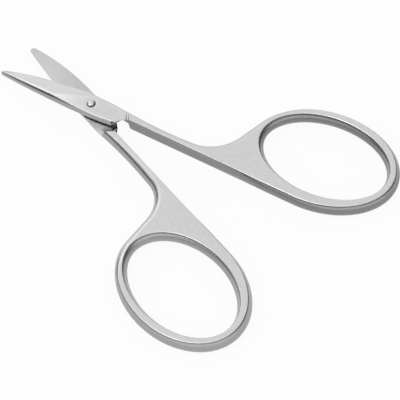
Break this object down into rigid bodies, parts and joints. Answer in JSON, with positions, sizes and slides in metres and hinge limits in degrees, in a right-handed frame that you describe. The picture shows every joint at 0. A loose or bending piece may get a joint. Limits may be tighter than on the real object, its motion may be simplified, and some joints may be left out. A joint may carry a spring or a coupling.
{
  "type": "nail scissors",
  "caption": "Small curved-blade nail scissors: forged halves with oval finger rings turn about a domed rivet in a lap joint.",
  "frame": {"origin": "on the rivet's axis, at its flat rear face, which is flush with the lower half's outer plate face", "axes": "+X from the rivet towards the finger rings, midway between the two halves as they stand open; +Y towards the upper half's ring; +Z along the rivet's axis towards its domed head"},
  "size_m": [0.0787, 0.0588, 0.0048],
  "materials": {
    "upper_half_steel": "satin, finely brushed",
    "lower_half_steel": "satin, finely brushed",
    "pivot_rivet_steel": "smooth, lightly polished"
  },
  "bodies": {
    "lower": {"lower_half": "lower_half_steel", "pivot_rivet": "pivot_rivet_steel"},
    "upper": {"upper_half": "upper_half_steel"}
  },
  "joints": [
    {"name": "blade_pivot", "type": "hinge", "parent": "lower", "child": "upper", "pos_m": [0, 0, 0.0015], "axis": [0, 0, 1], "range_deg": [-19.7, 80]}
  ]
}
